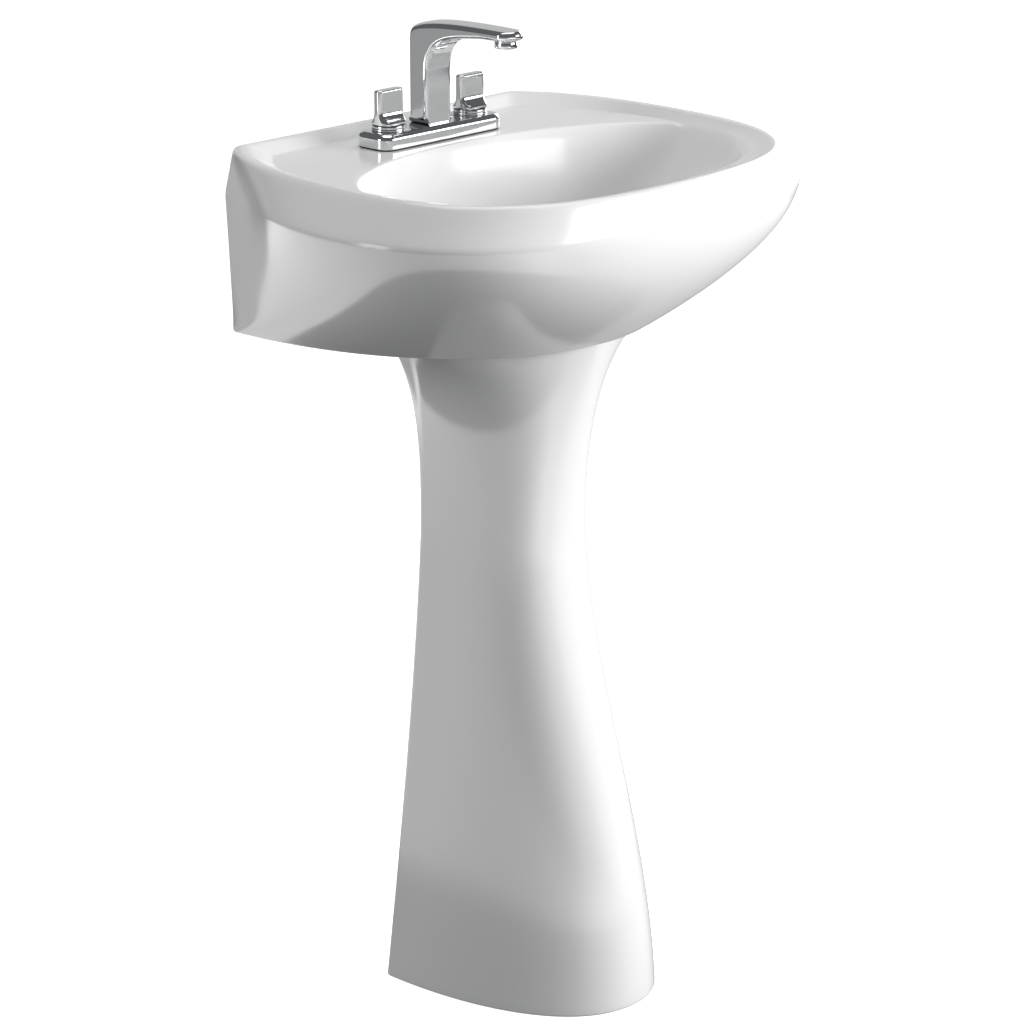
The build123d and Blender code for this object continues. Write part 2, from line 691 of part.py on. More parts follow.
with BuildPart() as drain_body:
    with Locations((0, DRAIN_Y, DRAIN_BODY_BASE)):
        Cylinder(DRAIN_BODY_RADIUS, DRAIN_BODY_TOP - DRAIN_BODY_BASE, align=upwards)
        Cylinder(NECK_RADIUS, 100, align=upwards, mode=Mode.SUBTRACT)
save(drain_body, "drain_body")

drain_gasket = tube(
    0, DRAIN_Y, china_underside - GASKET_HEIGHT, GASKET_HEIGHT, GASKET_RADIUS, DRAIN_BODY_RADIUS
)
save(drain_gasket, "drain_gasket")

drain_washer_base = china_underside - GASKET_HEIGHT - 1.5
drain_friction_washer = tube(0, DRAIN_Y, drain_washer_base, 1.5, GASKET_RADIUS, DRAIN_BODY_RADIUS)
save(drain_friction_washer, "drain_friction_washer")

with BuildPart() as drain_locknut:
    with BuildSketch(Plane.XY.offset(drain_washer_base - DRAIN_NUT_HEIGHT)):
        with Locations((0, DRAIN_Y)):
            RegularPolygon(DRAIN_NUT_RADIUS, 8)
            Circle(DRAIN_BODY_RADIUS, mode=Mode.SUBTRACT)
    extrude(amount=DRAIN_NUT_HEIGHT)
save(drain_locknut, "drain_locknut")

with BuildPart() as tailpiece:
    with Locations((0, DRAIN_Y, TAILPIECE_BASE)):
        Cylinder(TAILPIECE_RADIUS, tailpiece_neck_base - TAILPIECE_BASE, align=upwards)
        Cylinder(TAILPIECE_NECK_RADIUS, TAILPIECE_TOP - TAILPIECE_BASE, align=upwards)
    with Locations((0, DRAIN_Y, TAILPIECE_TOP)):
        Cylinder(TAILPIECE_FLANGE_RADIUS, TAILPIECE_FLANGE, align=downwards)
        Cylinder(TAILPIECE_RADIUS - TAILPIECE_WALL, 400, mode=Mode.SUBTRACT)
save(tailpiece, "tailpiece")

tailpiece_washer = tube(
    0, DRAIN_Y, TAILPIECE_TOP, DRAIN_BODY_BASE - TAILPIECE_TOP,
    TAILPIECE_FLANGE_RADIUS, TAILPIECE_RADIUS,
)
save(tailpiece_washer, "tailpiece_washer")

with BuildPart() as coupling_nut:
    with BuildSketch(Plane.XY.offset(COUPLING_BASE)):
        with Locations((0, DRAIN_Y)):
            RegularPolygon(COUPLING_RADIUS, 8)
            Circle(TAILPIECE_RADIUS, mode=Mode.SUBTRACT)
    extrude(amount=COUPLING_HEIGHT)
    with Locations((0, DRAIN_Y, TAILPIECE_TOP - TAILPIECE_FLANGE)):
        Cylinder(DRAIN_BODY_RADIUS, COUPLING_HEIGHT, align=upwards, mode=Mode.SUBTRACT)
save(coupling_nut, "coupling_nut")

# The push stopper: a domed cap on a stem that slides in a cross-shaped guide.
with BuildPart() as stopper_guide:
    with Locations((0, DRAIN_Y, neck_base)):
        Cylinder(STOPPER_STEM_RADIUS + 2.5, GUIDE_HEIGHT, align=upwards)
        Box(2 * THROAT_RADIUS, 3, GUIDE_HEIGHT, align=upwards)
        Box(3, 2 * THROAT_RADIUS, GUIDE_HEIGHT, align=upwards)
    with BuildSketch(Plane.XY.offset(neck_base)):
        with Locations((0, DRAIN_Y)):
            Circle(THROAT_RADIUS)
    extrude(amount=GUIDE_HEIGHT, mode=Mode.INTERSECT)
    with Locations((0, DRAIN_Y, neck_base)):
        Cylinder(STOPPER_STEM_RADIUS + RUNNING_FIT, 40, mode=Mode.SUBTRACT)
save(stopper_guide, "stopper_guide")

with BuildPart() as stopper_cap:
    with Locations((0, DRAIN_Y, cap_base)):
        Cylinder(CAP_RADIUS, CAP_THICKNESS, align=upwards)
    fillet(stopper_cap.edges().group_by(Axis.Z)[-1], 2)
save(stopper_cap, "stopper_cap")

stopper_seal = tube(0, DRAIN_Y, cap_base - 1.8, 1.8, 17.5, STOPPER_STEM_RADIUS)
save(stopper_seal, "stopper_seal")

with BuildPart() as stopper_stem:
    with Locations((0, DRAIN_Y, cap_base)):
        Cylinder(STOPPER_STEM_RADIUS, STOPPER_STEM_LENGTH, align=downwards)
save(stopper_stem, "stopper_stem")
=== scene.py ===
import json
import math
from collections import namedtuple

import bmesh
import bpy
import numpy as np
from bpy.props import FloatProperty, FloatVectorProperty, PointerProperty
from mathutils import Matrix, Vector


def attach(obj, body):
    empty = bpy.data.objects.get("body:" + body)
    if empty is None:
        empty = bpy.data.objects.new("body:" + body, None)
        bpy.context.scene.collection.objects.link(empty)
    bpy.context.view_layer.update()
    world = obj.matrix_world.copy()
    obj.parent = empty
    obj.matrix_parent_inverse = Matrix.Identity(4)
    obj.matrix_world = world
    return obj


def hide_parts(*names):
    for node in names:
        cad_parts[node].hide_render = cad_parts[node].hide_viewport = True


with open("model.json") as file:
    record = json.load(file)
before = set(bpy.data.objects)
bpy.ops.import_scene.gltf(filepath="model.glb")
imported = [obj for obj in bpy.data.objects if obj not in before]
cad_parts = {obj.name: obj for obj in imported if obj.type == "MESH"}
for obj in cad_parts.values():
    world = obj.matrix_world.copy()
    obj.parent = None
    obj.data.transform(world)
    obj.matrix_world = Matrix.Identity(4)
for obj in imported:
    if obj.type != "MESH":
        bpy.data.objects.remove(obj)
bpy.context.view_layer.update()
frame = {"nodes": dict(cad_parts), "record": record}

bl_info = {
    "name": "Pedestal sink",
    "version": (1, 0, 0),
    "blender": (4, 5, 0),
    "location": "View3D > Sidebar > Sink",
    "description": "Builds a china pedestal sink with a two-handle faucet round its fixed frame",
    "category": "Add Mesh",
}

# Shapes are worked out in millimetres, on the frame's own axes, and turned into
# metres when a mesh is made. The wall is at +Y and the user stands at -Y.
MM = 0.001

WALL_Y = 187.0
FAUCET_Y = 120.0
HANDLE_X = 50.8
DRAIN_Y = 22.0
SHOULDER_HEIGHT = 734.0
SEAM_HEIGHT = 612.0
DECK_HEIGHT = 762.0
DECK_UNDERSIDE = 748.0
BOWL_FLOOR = 631.0
PLATE_BASE = 763.5
PLATE_TOP = 776.5
RING_TOP = PLATE_TOP + 5
AERATOR_Y = 27.0
AERATOR_SEAT = PLATE_TOP + 84

# The belly runs from the shoulder to the underside. A measure with a power above 1
# keeps its shoulder value for longer, so the belly stays full and turns under late.
HULL_WIDTH_POWER = 1.14
HULL_FRONT_POWER = 2.03
HULL_REACH_POWER = 1.54

# How much each line rises towards the wall, per millimetre; the shoulder sinks a little.
SHOULDER_TILT = -0.011
CREST_TILT = 0.012

# The pedestal widens from its waist down to the foot and up to the head.
WAIST_HEIGHT = 430.0
FOOT_POWER = 1.3
FOOT_FRONT_POWER = 1.7
HEAD_POWER = 3.2
HEAD_FRONT_POWER = 2.0


# ------------------------------------------------------------------ plan shapes
Outline = namedtuple(
    "Outline",
    "back_half back_y widest_half widest_y front_y"
    " corner_reach flank_reach shoulder_reach nose_reach splay",
)

# How many points run along the back, round a back corner, down a flank and
# round the front, on one half of a D-shaped ring.
BACK_POINTS = 14
CORNER_POINTS = 7
FLANK_POINTS = 44
FRONT_POINTS = 60

shoulder_plan = Outline(187, WALL_Y, 248.5, -21, -186.5, 65, 122, 153.5, 111, 0)
underside_plan = Outline(179, WALL_Y, 195, 166, -90, 10, 8, 142, 119, 37)
crest_plan = Outline(174, WALL_Y, 226, 2, -181, 34, 120, 150, 130, 40)
foot_plan = Outline(109, 77, 109, 68, -132, 3, 3, 98, 76, 0)
waist_plan = Outline(61, 77, 61, 68, -47, 3, 3, 95, 40, 0)
head_plan = Outline(102.5, 77, 131, 14, -84.5, 22, 20, 74, 8, 20)


def between(a, b, share, **own_shares):
    """The outline part of the way from a to b; named fields keep their own pace."""
    values = [
        start + (end - start) * own_shares.get(field, share)
        for field, start, end in zip(Outline._fields, a, b)
    ]
    return Outline(*values)


def inset(shape, distance):
    """The outline drawn in by a distance on every side."""
    return shape._replace(
        back_half=shape.back_half - distance,
        back_y=shape.back_y - distance,
        widest_half=shape.widest_half - distance,
        front_y=shape.front_y + distance,
    )


def bezier(points, shares):
    """Points on a cubic curve, at these shares of its length of travel."""
    a, b, c, d = (np.array(point, float) for point in points)
    t = np.asarray(shares, float)[:, None]
    return a * (1 - t) ** 3 + 3 * b * t * (1 - t) ** 2 + 3 * c * t**2 * (1 - t) + d * t**3


def half_plan(shape, corner_radius, back_start=0.0):
    """The right half of a D-shaped ring, from the middle of the back to the nose."""
    splay = math.radians(shape.splay)
    corner = np.array((shape.back_half, shape.back_y))
    widest = np.array((shape.widest_half, shape.widest_y))
    nose = np.array((0.0, shape.front_y))
    corner_pull = corner + np.array((math.sin(splay), -math.cos(splay))) * shape.corner_reach
    flank = (corner, corner_pull, widest + (0, shape.flank_reach), widest)
    front = (widest, widest - (0, shape.shoulder_reach), nose + (shape.nose_reach, 0), nose)
    shares = np.linspace(0, 1, 200)
    steps = np.linalg.norm(np.diff(bezier(flank, shares), axis=0), axis=1)
    leave_share = np.interp(corner_radius, np.concatenate([[0], np.cumsum(steps)]), shares)
    enter = corner - (corner_radius, 0)
    leave = bezier(flank, [leave_share])[0]
    t = np.linspace(0, 1, CORNER_POINTS, endpoint=False)[:, None]
    return np.vstack([
        np.linspace((back_start, shape.back_y), enter, BACK_POINTS, endpoint=False),
        enter * (1 - t) ** 2 + 2 * corner * t * (1 - t) + leave * t**2,
        bezier(flank, np.linspace(leave_share, 1, FLANK_POINTS, endpoint=False)),
        bezier(front, np.linspace(0, 1, FRONT_POINTS)),
    ])


def mirrored(half):
    """A closed ring from its right half, whose two ends are on the centre line."""
    return np.vstack([half, half[-2:0:-1] * (-1, 1)])


def at_height(plan, height, tilt=0.0):
    """A plan ring lifted to a height, which rises towards the wall by tilt."""
    return np.column_stack([plan, height + tilt * plan[:, 1]])


def d_ring(shape, height, corner_radius, tilt=0.0):
    """A D-shaped ring at a height."""
    return at_height(mirrored(half_plan(shape, corner_radius)), height, tilt)


# The same number of points round an oval as round a D, so that they pair up.
REAR_SHARES = np.concatenate([
    np.linspace(0, 0.40, BACK_POINTS, endpoint=False),
    np.linspace(0.40, 0.46, CORNER_POINTS, endpoint=False),
    np.linspace(0.46, 1, FLANK_POINTS, endpoint=False),
])
FRONT_SHARES = np.linspace(0, 1, FRONT_POINTS)


def circle_ring(radius, height):
    """A round ring about the drain's axis."""
    angles = np.concatenate([(1 - REAR_SHARES), -FRONT_SHARES]) * math.pi / 2
    half = np.column_stack([np.cos(angles), np.sin(angles)]) * radius + (0, DRAIN_Y)
    half[0, 0] = half[-1, 0] = 0
    return at_height(mirrored(half), height)


# Depth below the deck, rear edge, half width, where it is widest, front edge.
BOWL_TABLE = np.array([
    (0, 87, 197, -12, -152),
    (10, 82, 192, -12, -148),
    (40, 75, 178, -10, -134),
    (72, 70, 156, -6, -110),
    (102, 66, 124, 2, -78),
    (122, 62, 80, 14, -42),
    (131, 57, 38, DRAIN_Y, -14),
], float)


def bowl_row(place):
    """A row of the bowl's table at a fractional place, on a smooth curve through its rows."""
    last = len(BOWL_TABLE) - 1
    index = min(int(place), last - 1)
    rows = [BOWL_TABLE[min(max(index + step, 0), last)] for step in (-1, 0, 1, 2)]
    before, start, end, after = rows
    pull_out = start + (end - before) / 6
    pull_in = end - (after - start) / 6
    return bezier((start, pull_out, pull_in, end), [place - index])[0]


def bowl_ring(place, grow=0.0, lowered=0.0):
    """One ring of the bowl, grown outwards and lowered by a wall thickness."""
    depth, rear_y, half, widest_y, front_y = bowl_row(place)
    rear = np.array((0, rear_y + grow))
    side = np.array((half + grow, widest_y))
    nose = np.array((0, front_y - grow))
    rear_curve = (
        rear,
        (side[0] * 0.5, rear[1]),
        (side[0], side[1] + (rear[1] - side[1]) * 0.55),
        side,
    )
    front_curve = (
        side,
        (side[0], side[1] + (nose[1] - side[1]) * 0.75),
        (side[0] * 0.58, nose[1]),
        nose,
    )
    half_ring = np.vstack([bezier(rear_curve, REAR_SHARES), bezier(front_curve, FRONT_SHARES)])
    return at_height(mirrored(half_ring), DECK_HEIGHT - depth - lowered)


def spline_rings(rings, steps):
    """Rings on a smooth closed spline that the given rings pull into shape."""
    stack = np.array(rings)
    before, after, beyond = (np.roll(stack, shift, axis=0) for shift in (1, -1, -2))
    made = []
    for t in np.arange(steps) / steps:
        weights = (
            (1 - t) ** 3,
            3 * t**3 - 6 * t**2 + 4,
            -3 * t**3 + 3 * t**2 + 3 * t + 1,
            t**3,
        )
        parts = zip(weights, (before, stack, after, beyond))
        made.append(sum(weight * part for weight, part in parts) / 6)
    return np.stack(made, axis=1).reshape(-1, *stack.shape[1:])


# ------------------------------------------------------------------ mesh making
def new_piece(name, mesh, material, body, replaced):
    """A finished mesh as a piece that rides on a body in place of CAD nodes."""
    piece = bpy.data.objects.new(name, mesh)
    bpy.context.scene.collection.objects.link(piece)
    mesh.materials.clear()
    mesh.materials.append(material)
    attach(piece, body)
    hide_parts(*replaced)
    return piece


def add_grid(bm, rings, closed_stack=False):
    """Quads between closed rings of equal count; returns the vertices, ring by ring."""
    rows = [[bm.verts.new(Vector(point) * MM) for point in ring] for ring in rings]
    pairs = list(zip(rows, rows[1:]))
    if closed_stack:
        pairs.append((rows[-1], rows[0]))
    for low, high in pairs:
        count = len(low)
        for i in range(count):
            j = (i + 1) % count
            bm.faces.new((low[i], low[j], high[j], high[i]))
    return rows


def finish_mesh(bm, name, crease_degrees=40.0):
    """A shaded mesh from a bmesh, facing outwards, with its real edges kept crisp."""
    bmesh.ops.recalc_face_normals(bm, faces=bm.faces)
    mesh = bpy.data.meshes.new(name)
    bm.to_mesh(mesh)
    bm.free()
    for face in mesh.polygons:
        face.use_smooth = True
    mesh.set_sharp_from_angle(angle=math.radians(crease_degrees))
    return mesh


def capped_mesh(name, rings, crease_degrees=40.0):
    """A stack of rings closed by flat ends."""
    bm = bmesh.new()
    rows = add_grid(bm, rings)
    for row in (rows[0], rows[-1]):
        bm.faces.new(row)
    return finish_mesh(bm, name, crease_degrees)


def with_modifiers(mesh, name, *modifiers):
    """The mesh after modifiers, each given as a kind and its settings."""
    holder = bpy.data.objects.new(name, mesh)
    bpy.context.scene.collection.objects.link(holder)
    for kind, settings in modifiers:
        modifier = holder.modifiers.new(kind.lower(), kind)
        for key, value in settings.items():
            setattr(modifier, key, value)
    bpy.context.view_layer.update()
    evaluated = holder.evaluated_get(bpy.context.evaluated_depsgraph_get())
    result = bpy.data.meshes.new_from_object(evaluated)
    result.name = name
    bpy.data.objects.remove(holder)
    return result


def evenly_shaded(name, rings, crease_degrees=40.0):
    """A capped stack of rings whose flats shade flat and whose soft edges shade evenly."""
    mesh = capped_mesh(f"{name}_skin", rings, crease_degrees)
    return with_modifiers(mesh, name, ("WEIGHTED_NORMAL", {"keep_sharp": True}))


def turned(profile, centre, points=64):
    """Closed rings of a turned shape: (radius, height) pairs about an upright axis."""
    angles = np.linspace(0, 2 * math.pi, points, endpoint=False)
    spin = np.column_stack([np.cos(angles), np.sin(angles)])
    return [
        at_height(spin * radius + centre, height) for radius, height in profile
    ]


def rounded_box(half_x, half_y, radius, points=16):
    """A closed plan ring of a rectangle with round corners, about the origin."""
    ring = []
    for turn, (sx, sy) in enumerate(((1, 1), (-1, 1), (-1, -1), (1, -1))):
        angles = np.linspace(0, math.pi / 2, points) + turn * math.pi / 2
        centre = np.array((sx * (half_x - radius), sy * (half_y - radius)))
        ring.append(centre + radius * np.column_stack([np.cos(angles), np.sin(angles)]))
    return np.vstack(ring)


# ------------------------------------------------------------------ china
def hull_ring(fall, wall, corner_radius):
    """A ring of the belly: fall is 0 at the shoulder and 1 at the underside."""
    shape = between(
        shoulder_plan, underside_plan, fall,
        widest_half=fall**HULL_WIDTH_POWER,
        widest_y=fall**HULL_FRONT_POWER,
        front_y=fall**HULL_FRONT_POWER,
        shoulder_reach=fall**HULL_REACH_POWER,
        nose_reach=fall**HULL_REACH_POWER,
    )
    height = SHOULDER_HEIGHT + (SEAM_HEIGHT - SHOULDER_HEIGHT) * fall
    return d_ring(inset(shape, wall), height, corner_radius, SHOULDER_TILT * (1 - fall))


def part_way(start, end, shares):
    """Rings at these shares of the way from one ring to another."""
    return [start + (end - start) * share for share in shares]


def basin_rings(china):
    """The basin's skin as a closed run of rings: belly, bevel, rim, deck, bowl, underside."""
    rim_height = china.rim_height / MM
    softness = china.corner_softness / MM
    wall = china.wall / MM
    shoulder = hull_ring(0, 0, softness)
    crest, crown, inner_crest = (
        d_ring(inset(crest_plan, drawn_in), rim_height - drop, softness, CREST_TILT)
        for drawn_in, drop in ((0, 1.4), (5, 0.4), (10, 1.2))
    )
    lip_foot = d_ring(inset(crest_plan, 24), DECK_HEIGHT + 0.3, softness)
    bowl_edge = bowl_ring(0)

    falls = (1, 0.985, 0.95, *np.arange(0.9, 0.05, -0.1), 0.04)
    belly = [hull_ring(fall, 0, softness) for fall in falls]
    bevel = part_way(shoulder, crest, (0, 0.2, 0.5, 0.82))
    rim = [crest, crown, inner_crest]
    lip = part_way(inner_crest, lip_foot, (0.12, 0.5, 0.88, 1))
    deck = part_way(lip_foot, bowl_edge, (0.03, 0.1, 0.5, 0.8, 0.92))
    bowl = [bowl_ring(place) for place in (0, 0.3, 0.6, 1, *np.arange(1.3, 6.01, 0.3625))]
    # The seat that the drain's flange lies in, the hole through the floor, and its end.
    drain_hole = [
        circle_ring(radius, BOWL_FLOOR + rise)
        for radius, rise in (
            (35, 0.1), (33.4, 0), (33, -0.5), (33, -2.2), (32.6, -2.5), (28, -2.5),
            (23, -2.5), (22.5, -3), (22.5, -6), (22.5, -9.5), (23, -10), (34, -10),
        )
    ]
    under_bowl = [
        bowl_ring(place, wall, wall) for place in (*np.arange(6, 0.9, -0.5), 0.6)
    ]
    under_bowl_top = bowl_ring(0.2, wall, wall)
    under_bowl_top[:, 2] = DECK_UNDERSIDE
    hollow_share = (DECK_UNDERSIDE - SHOULDER_HEIGHT) / (rim_height - SHOULDER_HEIGHT)
    hollow_plan = inset(between(shoulder_plan, crest_plan, hollow_share), wall + 2)
    hollow_top = d_ring(hollow_plan, DECK_UNDERSIDE, softness)
    under_deck = part_way(under_bowl_top, hollow_top, (0, 0.05, 0.5, 0.95, 1))
    inner_belly = [
        hull_ring(fall, wall, softness) for fall in (0.02, *np.arange(0.2, 0.95, 0.15), 0.97, 1)
    ]
    outside = belly + bevel + rim + lip + deck + bowl
    stack = np.array(outside + drain_hole + under_bowl + under_deck + inner_belly)

    # Where the deck runs out, at the sides and front, the lip flows into the bowl.
    deck_width = np.linalg.norm(bowl_edge - lip_foot, axis=1)
    flow = np.clip((46 - deck_width) / 40, 0, 1)[:, None] * 0.5
    first = len(belly) + len(bevel) + len(rim)
    last = first + len(lip) + len(deck) + 4
    for _ in range(14):
        middle = (stack[first - 1:last - 1] + stack[first + 1:last + 1]) / 2
        stack[first:last] += (middle - stack[first:last]) * flow
    return stack


def cutter(name, rings):
    """A closed shape to cut the basin with, taken away once it has cut."""
    made = bpy.data.objects.new(name, capped_mesh(name, rings))
    bpy.context.scene.collection.objects.link(made)
    return made


def across(ring_xz, near_y, far_y):
    """Two upright rings that a hole along Y is cut with."""
    return [
        np.column_stack([ring_xz[:, 0], np.full(len(ring_xz), y), ring_xz[:, 1]])
        for y in (near_y, far_y)
    ]


def basin_cutters():
    """Faucet holes, wall fixing holes and the overflow slot."""
    faucet_hole = 16.0
    wall_hole = 6.5
    wall_hole_x = 101.6
    wall_hole_height = 700.0
    overflow_height = 736.0
    made = []
    for index, x in enumerate((-HANDLE_X, 0, HANDLE_X)):
        hole = turned([(faucet_hole, 735), (faucet_hole, 775)], (x, FAUCET_Y), 48)
        made.append(cutter(f"cut_faucet_{index}", hole))
    for index, x in enumerate((-wall_hole_x, wall_hole_x)):
        hole = turned([(wall_hole, 0)], (x, wall_hole_height), 32)[0][:, :2]
        made.append(cutter(f"cut_wall_{index}", across(hole, 165, 200)))
    slot = rounded_box(13, 5, 4.99, 12) + (0, overflow_height)
    made.append(cutter("cut_overflow", across(slot, -158, -128)))
    return made


def pedestal_shape(height):
    """The column's section: a flared foot, a slim waist and a wider head."""
    if height <= WAIST_HEIGHT:
        drop = 1 - height / WAIST_HEIGHT
        return between(
            waist_plan, foot_plan, drop**FOOT_POWER,
            front_y=math.sin(drop * math.pi / 2) ** FOOT_FRONT_POWER,
        )
    rise = (height - WAIST_HEIGHT) / (SEAM_HEIGHT - WAIST_HEIGHT)
    return between(waist_plan, head_plan, rise**HEAD_POWER, front_y=rise**HEAD_FRONT_POWER)


def broken_edge(slot_half, back_y, into_wall):
    """Two points that take the sharp edge off the opening's side, into_wall is +1 or -1."""
    return [
        (slot_half, back_y + 3 * into_wall),
        (slot_half + 0.6, back_y + 0.8 * into_wall),
    ]


def column_ring(height, shrink, wall, opening_return):
    """One C-shaped section: the outside, then back along the chamber's wall."""
    shape = pedestal_shape(height)
    outside = inset(shape, shrink)._replace(back_y=shape.back_y - shrink)
    chamber = inset(shape, wall - shrink)
    chamber = chamber._replace(widest_y=chamber.widest_y - wall)
    slot_half = shape.back_half - wall - opening_return
    outer_edge = broken_edge(slot_half, shape.back_y, -1)
    inner_edge = broken_edge(slot_half, shape.back_y - wall, 1)
    outer = np.vstack([*outer_edge, half_plan(outside, 5, slot_half + 2)])
    inner = np.vstack([*inner_edge, half_plan(chamber, 6, slot_half + 2)])
    outside_line, inside_line = (
        np.vstack([half, half[-2::-1] * (-1, 1)]) for half in (outer, inner)
    )
    return at_height(np.vstack([outside_line, inside_line[::-1]]), height)


def column_mesh(china):
    """The pedestal: a waisted column, open behind, with a web across its foot."""
    wall = china.column_wall / MM
    opening_return = 14.0
    web_y = 60.0
    screw_hole = 5.5
    heights = [(0, 1.8), (0.3, 0.8), (1, 0.2), (2.4, 0)]
    heights += [(height, 0) for height in np.linspace(8, 609, 90)]
    heights += [(611, 0.1), (611.8, 0.5), (612, 1.2)]
    bm = bmesh.new()
    rows = add_grid(bm, [
        column_ring(height, shrink, wall, opening_return) for height, shrink in heights
    ])
    for row in (rows[0], rows[-1]):
        half = len(row) // 2
        for i in range(half - 1):
            bm.faces.new((row[i], row[i + 1], row[-2 - i], row[-1 - i]))
    # The web: a flat bar with one screw hole.
    bar = rounded_box(100, 15, 3)
    bar_angles = np.arctan2(bar[:, 1], bar[:, 0])
    hole = np.column_stack([np.cos(bar_angles), np.sin(bar_angles)]) * screw_hole
    levels = ((0, 0.6), (1, 0), (12.5, 0), (13.6, 0.5), (14, 1.5))
    web = [(bar * (1 - shrink / 60), z) for z, shrink in levels]
    web += [(hole * 1.2, 14), (hole, 13.4), (hole, 0)]
    add_grid(bm, [at_height(ring + (0, web_y), z) for ring, z in web], closed_stack=True)
    return finish_mesh(bm, "pedestal_china")


# ------------------------------------------------------------------ faucet
def spout_side(faucet):
    """The spout's side view as a closed line: forward reach and height above the plate."""
    top = faucet.spout_height / MM
    tip = faucet.spout_reach / MM + 15.5
    arm_underside = top - 8
    back = -11.0
    front = 12.5
    back_bend = (back, top - 16)
    arm_start = (2, top - 2.2)
    nose_top = (tip - 4, top + 0.6)
    nose_underside = (tip - 4, arm_underside)
    sweep_start = (72, arm_underside - 0.3)
    sweep_end = (front, 48)
    # Each run's four curve points and how many points it gives.
    runs = (
        ((back, 0), (back, 25), (back, 50), back_bend, 14),
        (back_bend, (back, top - 7), (-8, top - 4.5), arm_start, 14),
        (arm_start, (24, top + 1.6), (60, top + 1.4), nose_top, 26),
        (nose_top, (tip + 1.2, top + 0.4), (tip + 1.2, arm_underside - 0.2), nose_underside, 14),
        (nose_underside, (tip - 12, arm_underside), (80, arm_underside), sweep_start, 8),
        (sweep_start, (38, arm_underside - 4.5), (front, arm_underside - 6), sweep_end, 34),
        (sweep_end, (front, 32), (front, 16), (front, 0), 12),
    )
    # How deep and how wide the edge is rounded where each run starts, and at the end.
    softness = np.array([
        (5.5, 5.5), (5.5, 5.5), (5.5, 11), (3.6, 9), (3.2, 4), (3.2, 4), (5, 5), (5.5, 5.5)
    ])
    line = [bezier(run[:4], np.linspace(0, 1, run[4], endpoint=False)) for run in runs]
    edge = [
        np.linspace(own, following, run[4], endpoint=False)
        for run, own, following in zip(runs, softness, softness[1:])
    ]
    return np.vstack([*line, (front, 0)]), np.vstack([*edge, softness[-1:]])


def spout_mesh(faucet):
    """The bent spout: its side view carried across the width, with soft edges and nose."""
    side, softness = spout_side(faucet)
    depths, widths = softness.T
    ahead, behind = np.roll(side, -1, axis=0), np.roll(side, 1, axis=0)
    along = ahead - behind
    along /= np.linalg.norm(along, axis=1)[:, None]
    inward = np.column_stack([along[:, 1], -along[:, 0]])
    half_width = faucet.spout_width / MM / 2
    tip = side[:, 0].max()
    nose_length = 26.0
    nose_bend = 8.5
    narrowing = 2.2
    bends = np.linspace(0, math.pi / 2, 10)
    edge = [
        (1 - (widths / half_width) * (1 - math.sin(bend)), depths * (1 - math.cos(bend)))
        for bend in bends
    ]
    flat = [(np.full(len(side), share), depths * 0) for share in np.linspace(-0.25, 0.25, 7)]
    stations = [(-share, depth) for share, depth in reversed(edge)] + flat + edge
    rings = []
    for share, depth in stations:
        line = side + inward * depth[:, None]
        line[:, 1] = np.maximum(line[:, 1], 0)
        reach = np.clip((side[:, 0] - (tip - 30)) / nose_length, 0, 1)
        bend = nose_bend * share**2 * reach**2 * (3 - 2 * reach)
        taper = half_width - narrowing * np.clip(side[:, 0] / tip, 0, 1)
        rings.append(np.column_stack([
            share * taper,
            FAUCET_Y - (line[:, 0] - bend),
            PLATE_TOP + line[:, 1],
        ]))
    return evenly_shaded("spout_casting", rings, 50)


def plate_mesh(faucet):
    """The base plate: a long shell with round corners and a soft top edge."""
    half_x = faucet.plate_length / MM / 2
    half_y = faucet.plate_width / MM / 2
    corner = 12.0
    edge = faucet.plate_edge / MM
    levels = [(0.5, PLATE_BASE), (0, PLATE_BASE + 0.6)]
    for bend in np.linspace(0, math.pi / 2, 9):
        levels.append((edge * (1 - math.cos(bend)), PLATE_TOP - edge * (1 - math.sin(bend))))
    rings = [
        at_height(rounded_box(half_x - back, half_y - back, corner - back) + (0, FAUCET_Y), z)
        for back, z in levels
    ]
    return evenly_shaded("base_plate", rings)


def turned_mesh(name, profile, foot, centre):
    """A hollow turned shape from its closed profile, whose heights count from its foot."""
    bm = bmesh.new()
    lifted = [(radius, foot + rise) for radius, rise in profile]
    add_grid(bm, turned(lifted, centre), closed_stack=True)
    return finish_mesh(bm, name)


def ring_mesh(name, x):
    """A trim ring: turned, with a fine groove and broken edges."""
    profile = (
        (11, 0), (15.2, 0), (15.4, 0.3), (15.4, 2.2), (15.2, 2.5), (14.6, 2.6), (14.6, 3.1),
        (15.0, 3.2), (15.1, 3.5), (15.1, 4.6), (14.8, 5), (11, 5),
    )
    return turned_mesh(name, profile, PLATE_TOP, (x, FAUCET_Y))


def blade_ring(half_x, half_y, corner):
    """A handle's section: a flat bar with crowned faces and soft corners."""
    ring = rounded_box(half_x, half_y, corner, 20)
    ring[:, 1] *= 1 - 0.22 * (ring[:, 0] / half_x) ** 2
    return ring


